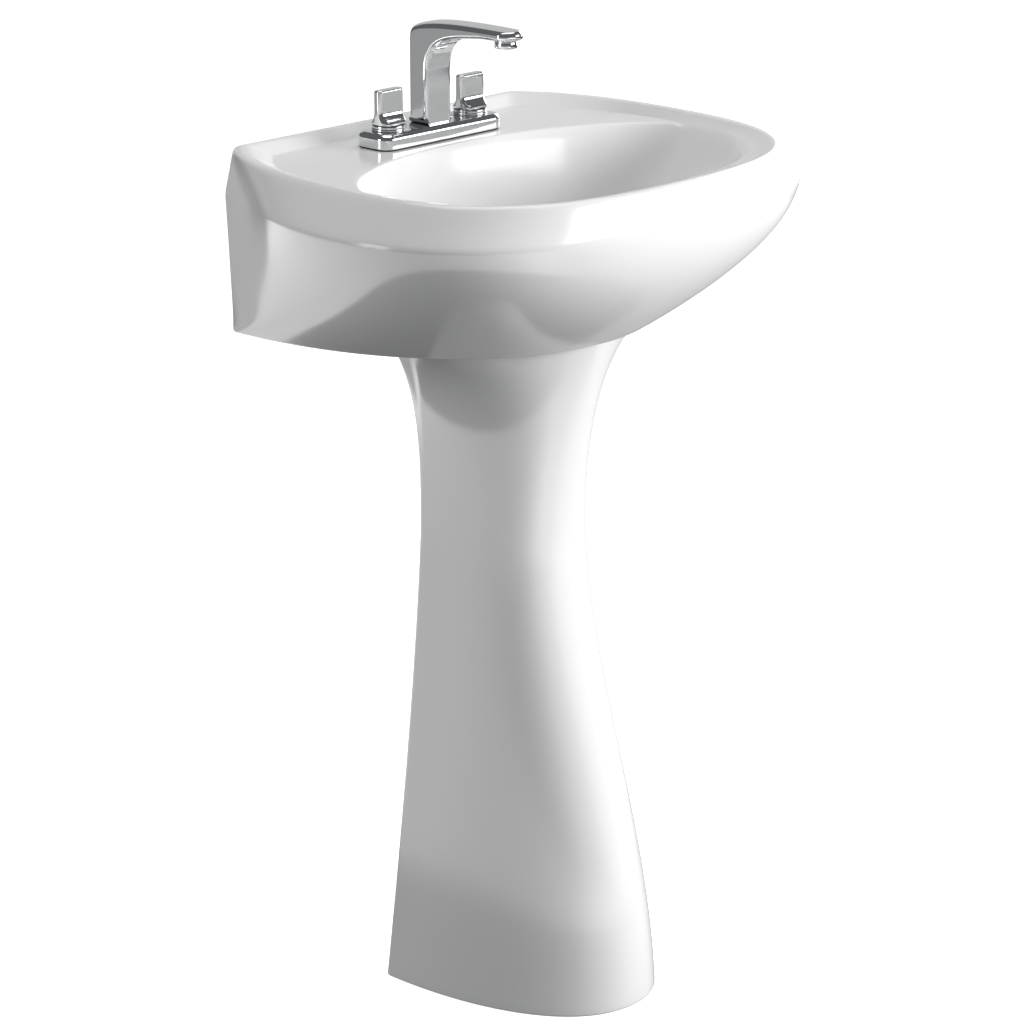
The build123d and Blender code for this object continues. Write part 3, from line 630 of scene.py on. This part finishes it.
def handle_mesh(name, x, faucet):
    """A lever-less handle: a round foot that sweeps up into a crowned blade."""
    foot = 15.0
    base = RING_TOP + 0.2
    sweep_start = base + 2.4
    sweep = 11.0
    top = PLATE_TOP + faucet.handle_height / MM
    top_edge = 1.4
    half_x = foot + 0.2
    half_y = faucet.blade_thickness / MM / 2 + 0.8
    corner = 4.2
    blade = blade_ring(half_x, half_y, corner)
    angles = np.arctan2(blade[:, 1] / half_y, blade[:, 0] / half_x)
    round_foot = np.column_stack([np.cos(angles), np.sin(angles)]) * foot
    # How round the section is, its height, and how far it is grown.
    levels = [(1, base, -0.7), (1, base + 0.4, -0.2), (1, base + 0.9, 0), (1, sweep_start, 0)]
    for step in np.linspace(0, 1, 17)[1:]:
        roundness = (1 - math.sin(step * math.pi / 2)) ** 1.5
        levels.append((roundness, sweep_start + sweep * step, 0))
    levels += [(0, base + 18, 0), (0, top - top_edge, 0)]
    for bend in np.linspace(0, math.pi / 2, 6)[1:]:
        height = top - top_edge * (1 - math.sin(bend))
        levels.append((0, height, -top_edge * (1 - math.cos(bend))))
    rings = []
    for roundness, z, grow in levels:
        plan = blade_ring(half_x, half_y, corner)
        if roundness:
            plan = plan * (1 - roundness) + round_foot * roundness
            plan = plan * (1 + grow / np.linalg.norm(plan, axis=1)[:, None])
        else:
            plan = blade_ring(half_x + grow, half_y + grow, corner + grow)
        rings.append(at_height(plan + (x, FAUCET_Y), z))
    return evenly_shaded(name, rings)


def aerator_mesh():
    """The aerator: a turned shell below the tip, with a groove and an open mouth."""
    profile = (
        (7.4, 0.6), (8.6, 0.6), (8.6, -1.2), (9.6, -1.3), (9.8, -1.6), (9.8, -6.5),
        (9.5, -7), (7.2, -7), (6.9, -6.6), (6.5, -3), (6.5, 0.6),
    )
    return turned_mesh("aerator_shell_turned", profile, AERATOR_SEAT, (0, AERATOR_Y))


# ------------------------------------------------------------------ finishes
class Signal:
    """A shader output that ordinary arithmetic works on."""

    def __init__(self, shade, socket):
        self.shade = shade
        self.socket = socket

    def join(self, operation, left, right):
        node = self.shade.node("ShaderNodeMath", {"operation": operation}, {0: left, 1: right})
        return Signal(self.shade, node.outputs[0])

    def __add__(self, other):
        return self.join("ADD", self, other)

    def __radd__(self, other):
        return self.join("ADD", other, self)

    def __sub__(self, other):
        return self.join("SUBTRACT", self, other)

    def __rsub__(self, other):
        return self.join("SUBTRACT", other, self)

    def __mul__(self, other):
        return self.join("MULTIPLY", self, other)

    def __rmul__(self, other):
        return self.join("MULTIPLY", other, self)


class Shade:
    """One procedural material, put together node by node."""

    def __init__(self, name):
        self.material = bpy.data.materials.new(name)
        self.material.use_nodes = True
        self.tree = self.material.node_tree
        self.tree.nodes.clear()
        self.place = self.node("ShaderNodeTexCoord").outputs["Object"]

    def node(self, kind, settings=None, inputs=None):
        """A node: its settings and ramp stops first, then its values and links."""
        made = self.tree.nodes.new(kind)
        for key, value in (settings or {}).items():
            if key == "stops":
                for element, (position, shade) in zip(made.color_ramp.elements, value):
                    element.position = position
                    element.color = (shade, shade, shade, 1)
            else:
                setattr(made, key, value)
        for key, value in (inputs or {}).items():
            if isinstance(value, Signal):
                self.tree.links.new(value.socket, made.inputs[key])
            elif isinstance(value, bpy.types.NodeSocket):
                self.tree.links.new(value, made.inputs[key])
            else:
                made.inputs[key].default_value = value
        return made

    def noise(self, scale, detail=2.0, stretch=(1, 1, 1)):
        """Soft random unevenness; scale counts bumps per metre."""
        place = self.node("ShaderNodeMapping", None, {"Vector": self.place, "Scale": stretch})
        made = self.node(
            "ShaderNodeTexNoise", None,
            {"Vector": place.outputs[0], "Scale": scale, "Detail": detail},
        )
        return Signal(self, made.outputs[0])

    def band(self, signal, low, high):
        """The signal spread out so that low gives 0 and high gives 1."""
        made = self.node("ShaderNodeValToRGB", {"stops": ((low, 0), (high, 1))}, {0: signal})
        return Signal(self, made.outputs[0])

    def mix(self, share, first, second):
        """A colour between two colours."""
        made = self.node(
            "ShaderNodeMix", {"data_type": "RGBA"},
            {"Factor": share, 6: (*first, 1), 7: (*second, 1)},
        )
        return made.outputs[2]

    def bump(self, height, strength, distance):
        """Relief that the light picks out."""
        made = self.node(
            "ShaderNodeBump", None,
            {"Height": height, "Strength": strength, "Distance": distance},
        )
        return made.outputs[0]

    def surface(self, **inputs):
        """The finished surface, with its principled shader's inputs by name."""
        named = {key.replace("_", " "): value for key, value in inputs.items()}
        shader = self.node("ShaderNodeBsdfPrincipled", None, named)
        self.node("ShaderNodeOutputMaterial", None, {"Surface": shader.outputs[0]})
        return self.material


def darker(colour, share):
    """A colour at a share of its brightness."""
    return tuple(channel * share for channel in colour)


def vitreous_china(look):
    """White glaze: glossy, with a slow ripple, faint clouding and a few pinholes."""
    shade = Shade("vitreous_china")
    clouds = shade.noise(9, 3)
    pinholes = shade.band(shade.noise(900, 0), 0.78, 0.82)
    toned = shade.band(clouds, 0.3, 0.7) * 0.6 + pinholes * 0.4
    ripple = shade.noise(34, 1) + shade.noise(160, 1) * 0.08
    return shade.surface(
        Base_Color=shade.mix(toned, look.glaze, darker(look.glaze, 0.955)),
        Roughness=look.glaze_roughness + shade.noise(22, 4) * 0.035,
        IOR=1.52,
        Coat_Weight=0.6,
        Coat_Roughness=0.03,
        Normal=shade.bump(ripple, 0.12, 0.001),
    )


def polished_chrome(look):
    """Bright plate with a soft bloom: light smudges and very fine wipe marks."""
    shade = Shade("polished_chrome")
    smudges = shade.band(shade.noise(55, 4), 0.42, 0.72)
    wipes = shade.noise(420, 2, (1, 1, 0.08))
    return shade.surface(
        Base_Color=shade.mix(smudges * 0.5, look.chrome, darker(look.chrome, 0.93)),
        Metallic=1.0,
        Roughness=look.chrome_roughness + smudges * 0.05 + wipes * 0.03,
        Normal=shade.bump(wipes, 0.05, 0.0002),
    )


def cast_brass(look):
    """Sand-cast brass: grainy, dull, a little darker in random patches of tarnish."""
    shade = Shade("cast_brass")
    grain = shade.noise(1400, 4)
    tarnish = shade.band(shade.noise(60, 5), 0.35, 0.7)
    return shade.surface(
        Base_Color=shade.mix(tarnish, look.brass, darker(look.brass, 0.55)),
        Metallic=1.0,
        Roughness=0.32 + tarnish * 0.2,
        Normal=shade.bump(grain, 0.35, 0.0004),
    )


def black_rubber(look):
    """Moulded rubber: matt, faintly grained, with a dusty bloom."""
    shade = Shade("black_rubber")
    dust = shade.band(shade.noise(80, 5), 0.45, 0.8)
    return shade.surface(
        Base_Color=shade.mix(dust, look.rubber, (0.09, 0.088, 0.085)),
        Roughness=0.62 + dust * 0.2,
        Normal=shade.bump(shade.noise(2600, 3), 0.25, 0.0002),
    )


def white_plastic(look):
    """Moulded plastic: a fine orange-peel skin, slightly uneven in tone."""
    shade = Shade("white_plastic")
    tone = shade.band(shade.noise(40, 3), 0.3, 0.75)
    return shade.surface(
        Base_Color=shade.mix(tone, look.plastic, darker(look.plastic, 0.92)),
        Roughness=0.36 + tone * 0.08,
        Normal=shade.bump(shade.noise(700, 2), 0.2, 0.0002),
    )


def stainless_steel(look):
    """Turned steel: fine tool marks that run round the axis."""
    shade = Shade("stainless_steel")
    marks = shade.noise(260, 2, (0.05, 0.05, 9))
    blotches = shade.band(shade.noise(110, 3), 0.4, 0.7)
    return shade.surface(
        Base_Color=shade.mix(blotches, look.steel, darker(look.steel, 0.88)),
        Metallic=1.0,
        Roughness=0.26 + marks * 0.12,
        Normal=shade.bump(marks, 0.3, 0.0002),
    )


def floor_finish(stage):
    """A matt pale floor, lit from within just enough to stay clean and shadowless."""
    shade = Shade("pale_floor")
    tone = shade.band(shade.noise(2.5, 4), 0.3, 0.7)
    return shade.surface(
        Base_Color=shade.mix(tone, stage.floor, darker(stage.floor, 0.985)),
        Roughness=0.7,
        Emission_Color=(1.0, 1.0, 1.0, 1.0),
        Emission_Strength=stage.floor_glow,
    )


def reflector_finish(name, glow):
    """A sheet that the glaze and the chrome mirror: bright at the left, dim at the right."""
    shade = Shade(name)
    tone = shade.band(shade.noise(3.0, 2), 0.3, 0.7)
    x = Signal(shade, shade.node("ShaderNodeSeparateXYZ", None, {"Vector": shade.place}).outputs[0])
    dimming = shade.band(x * 0.25 + 0.5, 0.50, 0.58)
    return shade.surface(
        Base_Color=shade.mix(tone, (0.05, 0.05, 0.05), (0.045, 0.045, 0.045)),
        Roughness=0.9,
        Emission_Color=shade.mix(dimming, (1.0, 1.0, 1.0), (0.16, 0.16, 0.16)),
        Emission_Strength=glow,
    )


FINISHES = {
    "vitreous_china": vitreous_china,
    "polished_chrome": polished_chrome,
    "cast_brass": cast_brass,
    "black_rubber": black_rubber,
    "white_plastic": white_plastic,
    "stainless_steel": stainless_steel,
}


def finish(slot, look):
    """The material of a slot, made once."""
    return bpy.data.materials.get(slot) or FINISHES[slot](look)


# ------------------------------------------------------------------ settings
def length(name, description, default):
    """A length in metres."""
    return FloatProperty(
        name=name, description=description, default=default, min=0.0,
        subtype="DISTANCE", unit="LENGTH", precision=4,
    )


def colour(name, description, default):
    """A colour with three channels."""
    return FloatVectorProperty(
        name=name, description=description, default=default, size=3, min=0.0, max=1.0,
        subtype="COLOR",
    )


class ChinaSettings(bpy.types.PropertyGroup):
    """Sizes of the basin and the pedestal."""

    rim_height: length("Rim height", "Height of the rim's crest above the floor", 0.770)
    wall: length("Wall", "Thickness of the basin's china", 0.010)
    column_wall: length("Column wall", "Thickness of the pedestal's china", 0.012)
    corner_softness: length("Back corners", "How far the back corners are rounded", 0.006)


class FaucetSettings(bpy.types.PropertyGroup):
    """Sizes of the faucet."""

    spout_height: length("Spout height", "Height of the spout above its plate", 0.092)
    spout_reach: length("Spout reach", "From the spout's axis to the aerator's", 0.093)
    spout_width: length("Spout width", "Width of the spout's column", 0.0325)
    handle_height: length("Handle height", "Top of a handle above the plate", 0.036)
    blade_thickness: length("Blade thickness", "Thickness of a handle's blade", 0.0095)
    plate_length: length("Plate length", "Length of the base plate", 0.149)
    plate_width: length("Plate width", "Depth of the base plate", 0.042)
    plate_edge: length("Plate edge", "Radius of the plate's top edge", 0.0055)


class LookSettings(bpy.types.PropertyGroup):
    """Colours and gloss."""

    glaze: colour("Glaze", "Colour of the china glaze", (0.70, 0.705, 0.71))
    chrome: colour("Chrome", "Tint of the chrome plate", (0.52, 0.525, 0.53))
    brass: colour("Brass", "Colour of the castings", (0.72, 0.52, 0.24))
    rubber: colour("Rubber", "Colour of the gaskets", (0.025, 0.025, 0.026))
    plastic: colour("Plastic", "Colour of nuts and washers", (0.74, 0.74, 0.71))
    steel: colour("Steel", "Tint of screws and washers", (0.56, 0.56, 0.57))
    glaze_roughness: FloatProperty(
        name="Glaze roughness", description="0 is a mirror", default=0.055, min=0.0, max=1.0
    )
    chrome_roughness: FloatProperty(
        name="Chrome roughness", description="0 is a mirror", default=0.19, min=0.0, max=1.0
    )


class StageSettings(bpy.types.PropertyGroup):
    """Floor, lights and camera."""

    floor: colour("Floor", "Colour of the floor", (0.90, 0.90, 0.90))
    floor_glow: FloatProperty(
        name="Floor glow", description="Light the floor gives off", default=1.0, min=0.0
    )
    sheet_glow: FloatProperty(
        name="Sheet glow", description="Light of the floor sheet that the sink mirrors",
        default=2.4, min=0.0,
    )
    back_glow: FloatProperty(
        name="Back glow", description="Light of the sheet behind the sink", default=3.4, min=0.0
    )
    far_glow: FloatProperty(
        name="Far glow", description="Light of the far floor sheet", default=0.35, min=0.0
    )
    ambient: FloatProperty(
        name="Ambient", description="Strength of the even light", default=0.13, min=0.0
    )
    lens: FloatProperty(
        name="Lens", description="Focal length", default=123.05, min=10.0, unit="CAMERA"
    )
    azimuth: FloatProperty(
        name="Azimuth", description="Camera angle round the sink", default=math.radians(-46.436),
        subtype="ANGLE", unit="ROTATION",
    )
    elevation: FloatProperty(
        name="Elevation", description="Camera angle above the floor",
        default=math.radians(17.796), subtype="ANGLE", unit="ROTATION",
    )
    distance: length("Distance", "Camera to the point it looks at", 3.0956)
    target: FloatVectorProperty(
        name="Target", description="The point the camera looks at",
        default=(-0.0269, -0.0058, 0.4475), subtype="XYZ", unit="LENGTH",
    )


# ------------------------------------------------------------------ operators
class SINK_OT_basin(bpy.types.Operator):
    """Build the glazed basin"""

    bl_idname = "sink.basin"
    bl_label = "Basin"

    def execute(self, context):
        rings = spline_rings(basin_rings(context.scene.sink_china), 3)
        bm = bmesh.new()
        add_grid(bm, rings, closed_stack=True)
        mesh = finish_mesh(bm, "basin_skin", 60)
        cutters = basin_cutters()
        cuts = [
            ("BOOLEAN", {"object": tool, "operation": "DIFFERENCE", "solver": "EXACT"})
            for tool in cutters
        ]
        mesh = with_modifiers(mesh, "basin_china", *cuts)
        mesh.set_sharp_from_angle(angle=math.radians(60))
        for tool in cutters:
            bpy.data.objects.remove(tool)
        material = finish("vitreous_china", context.scene.sink_look)
        new_piece("basin_glazed", mesh, material, "sink", ["basin"])
        return {"FINISHED"}


class SINK_OT_pedestal(bpy.types.Operator):
    """Build the glazed pedestal"""

    bl_idname = "sink.pedestal"
    bl_label = "Pedestal"

    def execute(self, context):
        mesh = column_mesh(context.scene.sink_china)
        material = finish("vitreous_china", context.scene.sink_look)
        new_piece("pedestal_glazed", mesh, material, "sink", ["pedestal"])
        return {"FINISHED"}


class SINK_OT_spout(bpy.types.Operator):
    """Build the spout and its aerator"""

    bl_idname = "sink.spout"
    bl_label = "Spout"

    def execute(self, context):
        chrome = finish("polished_chrome", context.scene.sink_look)
        mesh = spout_mesh(context.scene.sink_faucet)
        new_piece("spout_plated", mesh, chrome, "sink", ["spout"])
        new_piece(
            "aerator_shell_plated", aerator_mesh(), chrome, "sink",
            ["aerator_shell"],
        )
        return {"FINISHED"}


class SINK_OT_plate(bpy.types.Operator):
    """Build the base plate and the two trim rings"""

    bl_idname = "sink.plate"
    bl_label = "Base plate"

    def execute(self, context):
        chrome = finish("polished_chrome", context.scene.sink_look)
        mesh = plate_mesh(context.scene.sink_faucet)
        new_piece("base_plate_plated", mesh, chrome, "sink", ["faucet_base_plate"])
        for side, x in (("hot", -HANDLE_X), ("cold", HANDLE_X)):
            name = f"{side}_trim_ring"
            mesh = ring_mesh(f"{name}_turned", x)
            new_piece(f"{name}_plated", mesh, chrome, "sink", [name])
        return {"FINISHED"}


class SINK_OT_handles(bpy.types.Operator):
    """Build the two handles"""

    bl_idname = "sink.handles"
    bl_label = "Handles"

    def execute(self, context):
        chrome = finish("polished_chrome", context.scene.sink_look)
        for side, x in (("hot", -HANDLE_X), ("cold", HANDLE_X)):
            name = f"{side}_handle"
            mesh = handle_mesh(f"{name}_blade", x, context.scene.sink_faucet)
            new_piece(f"{name}_plated", mesh, chrome, f"{name}_set", [name])
        return {"FINISHED"}


class SINK_OT_finishes(bpy.types.Operator):
    """Give every remaining part its finish"""

    bl_idname = "sink.finishes"
    bl_label = "Finishes"

    def execute(self, context):
        for row in frame["record"]["subparts"]:
            part = frame["nodes"][row["node"]]
            material = finish(row["material_slot"], context.scene.sink_look)
            if not part.material_slots:
                part.data.materials.append(material)
            for slot in part.material_slots:
                slot.material = material
        return {"FINISHED"}


# Each lamp's name, place, aim, width, height, watts, and whether gloss mirrors it.
SOFTBOXES = (
    ("key_softbox", (2.1, 0.6, 1.15), (0.0, -0.05, 0.6), 1.2, 1.6, 19, True),
    ("bevel_softbox", (1.3, -2.3, 1.38), (0.0, 0.0, 0.7), 1.9, 0.9, 30, True),
    ("front_softbox", (1.3, -2.3, 0.70), (0.0, 0.0, 0.40), 1.9, 2.2, 78, False),
    ("top_softbox", (0.1, 0.1, 2.8), (0.0, 0.0, 0.6), 1.6, 1.6, 22, True),
    ("left_softbox", (-2.3, 0.9, 0.9), (0.0, 0.0, 0.6), 0.8, 1.6, 18, True),
)


def softbox(name, place, aim, size_x, size_y, power, mirrored_in_gloss):
    """A flat lamp that shines from its place towards an aim."""
    data = bpy.data.lights.new(name, "AREA")
    data.shape = "RECTANGLE"
    data.size = size_x
    data.size_y = size_y
    data.energy = power
    lamp = bpy.data.objects.new(name, data)
    bpy.context.scene.collection.objects.link(lamp)
    lamp.location = place
    lamp.rotation_mode = "QUATERNION"
    lamp.rotation_quaternion = (Vector(aim) - Vector(place)).to_track_quat("-Z", "Y")
    lamp.visible_glossy = mirrored_in_gloss


def mirrored_sheet(name, bm, height, glow):
    """A sheet that shows only where the glaze and the chrome mirror it."""
    sheet = bpy.data.objects.new(name, finish_mesh(bm, name))
    sheet.location.z = height
    sheet.data.materials.append(reflector_finish(name, glow))
    sheet.visible_camera = False
    sheet.visible_diffuse = False
    sheet.visible_shadow = False
    bpy.context.scene.collection.objects.link(sheet)


def floor_sheet(name, inner, outer, glow):
    """A flat ring round the sink, just below the floor, between two radii in metres."""
    bm = bmesh.new()
    add_grid(bm, [ring / MM for ring in turned([(inner, 0), (outer, 0)], (0, 0), 128)])
    mirrored_sheet(name, bm, -0.0015, glow)


def backdrop_sheet(name, glow):
    """A tall sheet behind the sink, towards its right."""
    bm = bmesh.new()
    corners = ((1.0, 4.2, 0.2), (4.6, 1.2, 0.2), (4.6, 1.2, 3.2), (1.0, 4.2, 3.2))
    bm.faces.new([bm.verts.new(corner) for corner in corners])
    mirrored_sheet(name, bm, 0.0, glow)


class SINK_OT_stage(bpy.types.Operator):
    """Set out the floor, the lights and the camera"""

    bl_idname = "sink.stage"
    bl_label = "Stage"

    def execute(self, context):
        stage = context.scene.sink_stage
        bm = bmesh.new()
        bmesh.ops.create_grid(bm, x_segments=8, y_segments=8, size=14)
        floor = bpy.data.objects.new("floor", finish_mesh(bm, "floor"))
        floor.location.z = -0.0005
        floor.data.materials.append(floor_finish(stage))
        floor.visible_diffuse = False
        floor.visible_glossy = False
        context.scene.collection.objects.link(floor)
        near_edge = 0.62
        far_edge = 2.3
        floor_sheet("near_sheet", 0.0, near_edge, 0.0)
        floor_sheet("middle_sheet", near_edge, far_edge, stage.sheet_glow)
        floor_sheet("far_sheet", far_edge, 9.0, stage.far_glow)
        backdrop_sheet("back_sheet", stage.back_glow)

        world = bpy.data.worlds.new("studio")
        world.use_nodes = True
        backdrop = world.node_tree.nodes["Background"]
        backdrop.inputs["Color"].default_value = (0.93, 0.95, 1.0, 1)
        backdrop.inputs["Strength"].default_value = stage.ambient
        context.scene.world = world
        context.scene.view_settings.view_transform = "Standard"

        for row in SOFTBOXES:
            softbox(*row)

        data = bpy.data.cameras.new("camera")
        data.lens = stage.lens
        data.sensor_width = 36
        camera = bpy.data.objects.new("camera", data)
        context.scene.collection.objects.link(camera)
        turn, rise = stage.azimuth, stage.elevation
        back = Vector((
            math.sin(turn) * math.cos(rise), -math.cos(turn) * math.cos(rise), math.sin(rise)
        ))
        right = Vector((math.cos(turn), math.sin(turn), 0))
        up = back.cross(right)
        camera.matrix_world = Matrix.Translation(Vector(stage.target) + back * stage.distance) @ (
            Matrix((right, up, back)).transposed().to_4x4()
        )
        context.scene.camera = camera
        return {"FINISHED"}


OPERATORS = (
    SINK_OT_basin,
    SINK_OT_pedestal,
    SINK_OT_spout,
    SINK_OT_plate,
    SINK_OT_handles,
    SINK_OT_finishes,
    SINK_OT_stage,
)
SETTINGS = {
    "sink_china": ChinaSettings,
    "sink_faucet": FaucetSettings,
    "sink_look": LookSettings,
    "sink_stage": StageSettings,
}


class SINK_PT_sidebar(bpy.types.Panel):
    """The sink's settings and the buttons that build it"""

    bl_label = "Pedestal sink"
    bl_idname = "SINK_PT_sidebar"
    bl_space_type = "VIEW_3D"
    bl_region_type = "UI"
    bl_category = "Sink"

    def draw(self, context):
        for attribute, group in SETTINGS.items():
            box = self.layout.box()
            box.label(text=group.__doc__)
            for name in group.__annotations__:
                box.prop(getattr(context.scene, attribute), name)
        for operator in OPERATORS:
            self.layout.operator(operator.bl_idname)


def register():
    """Add the settings, the operators and the panel to Blender."""
    for made in (*SETTINGS.values(), *OPERATORS, SINK_PT_sidebar):
        bpy.utils.register_class(made)
    for attribute, group in SETTINGS.items():
        setattr(bpy.types.Scene, attribute, PointerProperty(type=group))


def unregister():
    """Take them out again."""
    for attribute in SETTINGS:
        delattr(bpy.types.Scene, attribute)
    for made in reversed((*SETTINGS.values(), *OPERATORS, SINK_PT_sidebar)):
        bpy.utils.unregister_class(made)


def main():
    """Build everything in order."""
    register()
    bpy.ops.sink.basin()
    bpy.ops.sink.pedestal()
    bpy.ops.sink.spout()
    bpy.ops.sink.plate()
    bpy.ops.sink.handles()
    bpy.ops.sink.finishes()
    bpy.ops.sink.stage()


if __name__ == "__main__":
    main()
